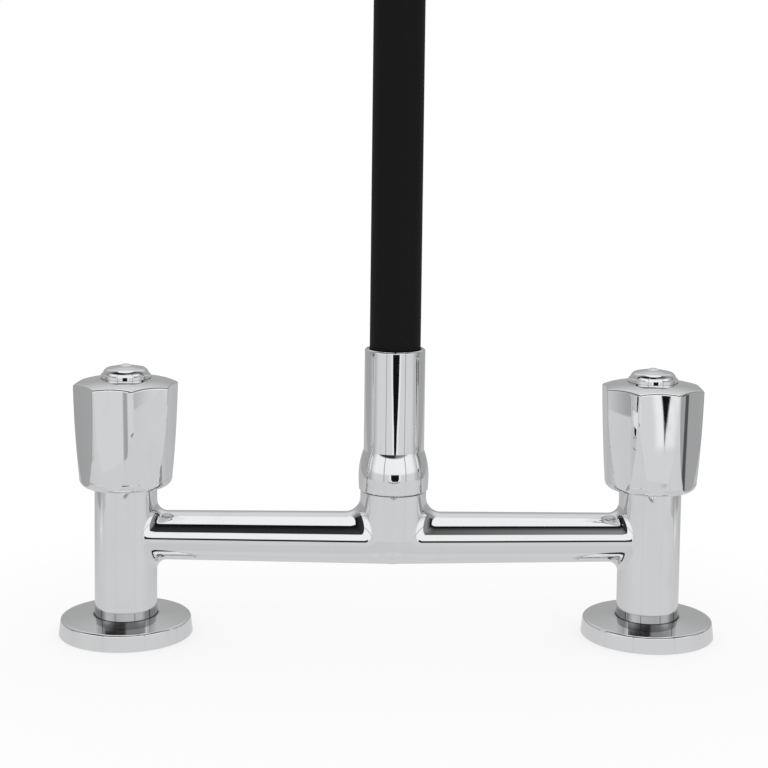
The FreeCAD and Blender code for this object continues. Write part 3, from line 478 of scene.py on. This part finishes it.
def start_material(name, metallic, roughness, **fixed):
    """A material and its shader. Its roughness is a typical one, which paint varies. Other fixed sockets
    are given by name, with _ for a space."""
    material = bpy.data.materials.new(name)
    material.use_nodes = True
    net = Graph(material.node_tree)
    shader = net.add("ShaderNodeBsdfPrincipled")
    shader.inputs["Metallic"].default_value = metallic
    shader.inputs["Roughness"].default_value = roughness
    for label, value in fixed.items():
        shader.inputs[label.replace("_", " ")].default_value = value
    output = net.add("ShaderNodeOutputMaterial")
    net.tree.links.new(shader.outputs[0], output.inputs["Surface"])
    place = net.add("ShaderNodeTexCoord").outputs["Object"]
    return material, net, shader, place


def paint(net, shader, colour, roughness):
    net.put(shader.inputs["Base Color"], colour)
    net.put(shader.inputs["Roughness"], roughness)


def emboss(net, shader, height, depth):
    """Raises the surface by height times depth, in metres."""
    net.put(shader.inputs["Normal"], net.bump(height, depth))


def foot_painted_reflection(net, place):
    """1 in the corner between a column and its flange, broken up a little: where the chrome gets a painted
    dark reflection.
    """
    x, y, z = net.split(place)
    across = net.math("SUBTRACT", net.math("ABSOLUTE", x), COLUMN_X)
    inside = net.fall(net.length(across, y), PAINTED_REFLECTION_R - PAINTED_REFLECTION_SOFT, PAINTED_REFLECTION_R + PAINTED_REFLECTION_SOFT)
    low = net.fall(z, PAINTED_REFLECTION_TOP - PAINTED_REFLECTION_SOFT, PAINTED_REFLECTION_TOP + PAINTED_REFLECTION_SOFT)
    patch = net.noise(net.stretch(place, 1.0, 1.0, 0.2), scale=170.0, detail=2.0, roughness=0.5)
    return net.times(net.times(inside, low), net.remap(patch, *PAINTED_REFLECTION_PATCHES))


def chrome():
    """Bright plate over a polished casting: a faint swell, a few dull wipes and a painted dark reflection
    at the foot of each column.
    """
    material, net, shader, place = start_material("chrome", metallic=1.0, roughness=0.04)
    wipes = net.noise(net.stretch(place, 1.0, 1.0, 0.35), scale=90.0, detail=4.0, roughness=0.62)
    dull = net.step(wipes, *WIPE_EDGE)
    plate = net.colour(dull, *PLATE_COLOURS)
    # painted dark reflection in the corner at the foot of each column
    painted_reflection_plate = net.colour(foot_painted_reflection(net, place), plate, PAINTED_REFLECTION_COLOUR)
    swell = net.noise(place, scale=55.0, detail=1.0, roughness=0.4)
    paint(net, shader, painted_reflection_plate, net.remap(dull, *PLATE_ROUGHNESS))
    emboss(net, shader, swell, PLATE_DEPTH)
    return material


def black_silicone():
    """Matt black silicone, a little cloudy, with a fine drawn grain along its length."""
    material, net, shader, place = start_material(
        "black_silicone", metallic=0.0, roughness=0.62, Specular_IOR_Level=0.17)
    grain = net.noise(net.stretch(place, 1.0, 1.0, 0.12), scale=1400.0, detail=3.0, roughness=0.6)
    cloud = net.noise(place, scale=45.0, detail=4.0, roughness=0.55)
    paint(net, shader, net.colour(cloud, *SILICONE_COLOURS), net.remap(cloud, *SILICONE_ROUGHNESS))
    emboss(net, shader, grain, SILICONE_DEPTH)
    return material


def black_rubber():
    """Matt rubber with a pale bloom in places."""
    material, net, shader, place = start_material("black_rubber", metallic=0.0, roughness=0.72)
    grain = net.noise(place, scale=900.0, detail=4.0, roughness=0.6)
    bloom = net.noise(place, scale=60.0, detail=3.0, roughness=0.5)
    paint(net, shader, net.colour(bloom, *RUBBER_COLOURS), net.remap(grain, *RUBBER_ROUGHNESS))
    emboss(net, shader, grain, RUBBER_DEPTH)
    return material


def machined(name, colours, roughness, ring_pitch):
    """Turned metal: fine rings up the axis, scratches round it, and handled blotches."""
    material, net, shader, place = start_material(name, metallic=1.0, roughness=roughness)
    z = net.split(place)[2]
    rings = net.math("SINE", net.times(z, 2 * math.pi / ring_pitch))
    blotch = net.noise(place, scale=120.0, detail=4.0, roughness=0.6)
    scratch = net.noise(net.stretch(place, 0.3, 0.3, 4.0), scale=1300.0, detail=2.0, roughness=0.5)
    least, most = MACHINED_SPREAD
    paint(net, shader, net.colour(blotch, *colours), net.remap(blotch, roughness + least, roughness + most))
    emboss(net, shader, net.math("ADD", net.times(rings, RING_SHARE), scratch), MACHINED_DEPTH)
    return material


def ceramic():
    """Smooth off-white ceramic with fine darker specks."""
    material, net, shader, place = start_material("ceramic", metallic=0.0, roughness=0.14)
    specks = net.noise(place, scale=1500.0, detail=3.0, roughness=0.7)
    colour = net.colour(net.step(specks, *SPECK_EDGE), *CERAMIC_COLOURS)
    paint(net, shader, colour, net.remap(specks, *CERAMIC_ROUGHNESS))
    return material


def fibre():
    """Red pressed fibre with flat strands."""
    material, net, shader, place = start_material("fibre", metallic=0.0, roughness=0.85)
    strands = net.noise(net.stretch(place, 1.0, 0.3, 3.0), scale=900.0, detail=5.0, roughness=0.7)
    paint(net, shader, net.colour(strands, *FIBRE_COLOURS), net.remap(strands, *FIBRE_ROUGHNESS))
    emboss(net, shader, strands, FIBRE_DEPTH)
    return material


def moulded(name, colours, roughness):
    """Moulded plastic: a fine skin, and colour drawn out along the axis."""
    material, net, shader, place = start_material(name, metallic=0.0, roughness=roughness)
    skin = net.noise(place, scale=700.0, detail=3.0, roughness=0.6)
    flow = net.noise(net.stretch(place, 1.0, 1.0, 0.2), scale=80.0, detail=3.0, roughness=0.5)
    least, most = MOULDED_SPREAD
    paint(net, shader, net.colour(flow, *colours), net.remap(skin, roughness + least, roughness + most))
    emboss(net, shader, skin, MOULDED_DEPTH)
    return material


def make_materials():
    return {
        "chrome": chrome(),
        "black_silicone": black_silicone(),
        "black_rubber": black_rubber(),
        "brass": machined("brass", BRASS_COLOURS, roughness=0.26, ring_pitch=BRASS_RING),
        "steel": machined("steel", STEEL_COLOURS, roughness=0.28, ring_pitch=STEEL_RING),
        "ceramic": ceramic(),
        "fibre": fibre(),
        "tube_plastic": moulded("tube_plastic", TUBE_COLOURS, roughness=0.38),
        "grey_plastic": moulded("grey_plastic", GREY_COLOURS, roughness=0.45),
    }


def dress_nodes(materials):
    """Gives each CAD node the material of its slot in the record."""
    slots = {part["node"]: part["material_slot"] for part in frame["record"]["subparts"]}
    for name, piece in frame["nodes"].items():
        piece.data.materials.clear()
        piece.data.materials.append(materials[slots[name]])


# ---------------------------------------------------------------- flexible spout
RUN_STEP = 0.006                # spacing of the rings on the straight runs
ARCH_STEP = math.radians(2.5)   # and round the arch
AROUND = 72                     # points in a ring
END_ROUND = 0.0004              # rounding of the rims
# rings of a rounded rim, from its face inwards: way in and cut off the radius, as shares of END_ROUND
RIM = ((0.0, 1.0), (0.3, 0.3), (1.0, 0.0))


def spout_stations():
    """Centre, and direction across the bend, of each ring from the riser to the outlet."""
    stations = []
    up_run = round((ARCH_START - HOSE_FOOT) / RUN_STEP)
    for k in range(up_run):
        z = HOSE_FOOT + (ARCH_START - HOSE_FOOT) * k / up_run
        stations.append((Vector((RISER_X, 0, z)), Vector((0, 1, 0))))
    arch = round(math.pi / ARCH_STEP)
    for k in range(arch + 1):
        angle = math.pi * k / arch
        out = Vector((0, math.cos(angle), math.sin(angle)))
        centre = Vector((RISER_X, -ARCH_R, ARCH_START)) + ARCH_R * out
        stations.append((centre, out))
    down_run = round((ARCH_START - HOSE_END) / RUN_STEP)
    for k in range(1, down_run + 1):
        z = ARCH_START - (ARCH_START - HOSE_END) * k / down_run
        stations.append((Vector((RISER_X, -2 * ARCH_R, z)), Vector((0, -1, 0))))
    return stations


def add_ring(shape, centre, out, radius):
    ring = []
    for k in range(AROUND):
        angle = 2 * math.pi * k / AROUND
        across = math.cos(angle) * out + math.sin(angle) * Vector((1, 0, 0))
        ring.append(shape.verts.new(centre + radius * across))
    return ring


def add_rim(shape, station, radius, rim):
    """Rings of a rounded rim. Both ends of the spout face down, so the way in is up."""
    centre, out = station
    inwards = Vector((0, 0, END_ROUND))
    return [add_ring(shape, centre + way * inwards, out, radius - cut * END_ROUND) for way, cut in rim]


def join_rings(shape, first, second):
    for k in range(AROUND):
        after = (k + 1) % AROUND
        shape.faces.new((first[k], first[after], second[after], second[k]))


def spout_tube(name, outer, inner):
    """A tube along the spout: up its outside, over the far rim, and back down its bore."""
    stations = spout_stations()
    shape = bmesh.new()
    rings = add_rim(shape, stations[0], outer, RIM)
    rings += [add_ring(shape, centre, out, outer) for centre, out in stations[1:-1]]
    rings += add_rim(shape, stations[-1], outer, reversed(RIM))
    rings += [add_ring(shape, centre, out, inner) for centre, out in reversed(stations)]
    for k, ring in enumerate(rings):
        join_rings(shape, ring, rings[(k + 1) % len(rings)])
    bmesh.ops.recalc_face_normals(shape, faces=shape.faces)
    mesh = bpy.data.meshes.new(name)
    shape.to_mesh(mesh)
    shape.free()
    shade_smooth(mesh)
    return new_object(name, mesh)


def add_spout(materials):
    """The bent layers of the spout, which flex over the crown of the arch between riser and outlet."""
    for node, (outer, inner, slot) in SPOUT_LAYERS.items():
        tube = spout_tube(node + "_bent", outer, inner)
        tube.data.materials.append(materials[slot])
        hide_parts(node)
        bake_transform(tube)


# ---------------------------------------------------------------- bridge casting
CUTS = 2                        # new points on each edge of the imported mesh
SKIN_DEPTH = 0.0004             # how far a point of the outer skin may lie from the exact form
SKIN_FACING = 0.9               # and how well its normal has to agree, as a cosine
LAY_ROUNDS = 4                  # rounds of moving the points onto the form
NUDGE = 0.00002                 # half the step over which a slope is measured
TINY = 1e-12                    # keeps a length off zero
LEAN_LIMIT = 0.999              # keeps two directions from lying in one line
ARM_FOOT = np.array((RISER_X, 0.0, ARM_MID_Z))


def arm_gap(points):
    """Distance from the tapered bridge tube, with its direction."""
    side = np.where(points[:, 0] > RISER_X, 1.0, -1.0)
    run = np.stack([side * COLUMN_X, 0 * side, 0 * side + ARM_END_Z], axis=1) - ARM_FOOT
    length = np.linalg.norm(run, axis=1, keepdims=True)
    axis = run / length
    taper = (ARM_MID_R - ARM_END_R) / length
    along = np.sum((points - ARM_FOOT) * axis, axis=1, keepdims=True)
    off = points - ARM_FOOT - along * axis
    far = np.linalg.norm(off, axis=1, keepdims=True) + TINY
    slope = np.sqrt(1 + taper ** 2)
    gap = (far - ARM_MID_R + taper * along) / slope
    return gap[:, 0], (off / far + taper * axis) / slope


def near_column(points):
    return np.abs(points[:, 0]) > COLUMN_X / 2


def upright_gap(points):
    """Distance from the nearer of the columns and the riser, with its direction."""
    at_column = near_column(points)
    middle = np.where(at_column, np.sign(points[:, 0]) * COLUMN_X, RISER_X)
    below = np.where(at_column, 0.0, np.minimum(points[:, 2] - HUB_Z, 0.0))
    off = np.stack([points[:, 0] - middle, points[:, 1], below], axis=1)
    far = np.linalg.norm(off, axis=1) + TINY
    return far - np.where(at_column, COLUMN_R, RISER_R), off / far[:, None]


def casting_gap(points):
    """Distance from the casting's skin, with a rolling-ball fillet between tube and upright."""
    arm, arm_way = arm_gap(points)
    upright, upright_way = upright_gap(points)
    ball = np.where(near_column(points), COLUMN_FILLET, HUB_FILLET)
    lean = np.clip(np.sum(arm_way * upright_way, axis=1), -LEAN_LIMIT, LEAN_LIMIT)
    to_arm = ball - arm
    to_upright = ball - upright
    between = (to_arm > lean * to_upright) & (to_upright > lean * to_arm) & (to_arm > 0) & (to_upright > 0)
    spread = to_arm * to_arm + to_upright * to_upright - 2 * to_arm * to_upright * lean
    away = np.sqrt(np.maximum(spread, 0.0) / (1 - lean * lean))
    return np.where(between, ball - away, np.minimum(arm, upright))


def casting_slope(points):
    """Direction in which the distance from the skin grows fastest, which is the skin's normal."""
    slope = np.empty_like(points)
    for k in range(3):
        step = np.zeros(3)
        step[k] = NUDGE
        slope[:, k] = (casting_gap(points + step) - casting_gap(points - step)) / (2 * NUDGE)
    return slope / (np.linalg.norm(slope, axis=1, keepdims=True) + TINY)


def lay_on_form(points, normals):
    """Moves the points of the outer skin onto the exact form, and sets their normals from it."""
    facing = np.sum(normals * casting_slope(points), axis=1)
    skin = (np.abs(casting_gap(points)) < SKIN_DEPTH) & (facing > SKIN_FACING)
    laid = points[skin]
    for _ in range(LAY_ROUNDS):
        laid = laid - casting_gap(laid)[:, None] * casting_slope(laid)
    points[skin] = laid
    normals[skin] = casting_slope(laid)


def smooth_casting(materials):
    """The casting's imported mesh, divided finely and laid on the exact form for clean reflections."""
    source = frame["nodes"]["bridge_body"]
    mesh = source.data.copy()
    shape = bmesh.new()
    shape.from_mesh(mesh)
    bmesh.ops.subdivide_edges(shape, edges=shape.edges, cuts=CUTS, use_grid_fill=True)
    shape.normal_update()
    points = np.array([source.matrix_world @ vert.co for vert in shape.verts])
    rotation = np.array(source.matrix_world.to_3x3().normalized())
    normals = np.array([vert.normal for vert in shape.verts]) @ rotation.T
    lay_on_form(points, normals)
    for vert, point in zip(shape.verts, points):
        vert.co = point
    shape.to_mesh(mesh)
    shape.free()
    shade_smooth(mesh)
    mesh.normals_split_custom_set_from_vertices(normals)
    mesh.materials.clear()
    mesh.materials.append(materials["chrome"])
    casting = new_object("bridge_casting", mesh)
    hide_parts("bridge_body")
    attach(casting, "base")


add_camera()
add_world()
add_floor()
looks = make_materials()
dress_nodes(looks)
add_spout(looks)
smooth_casting(looks)
bpy.context.scene.view_settings.view_transform = "Standard"
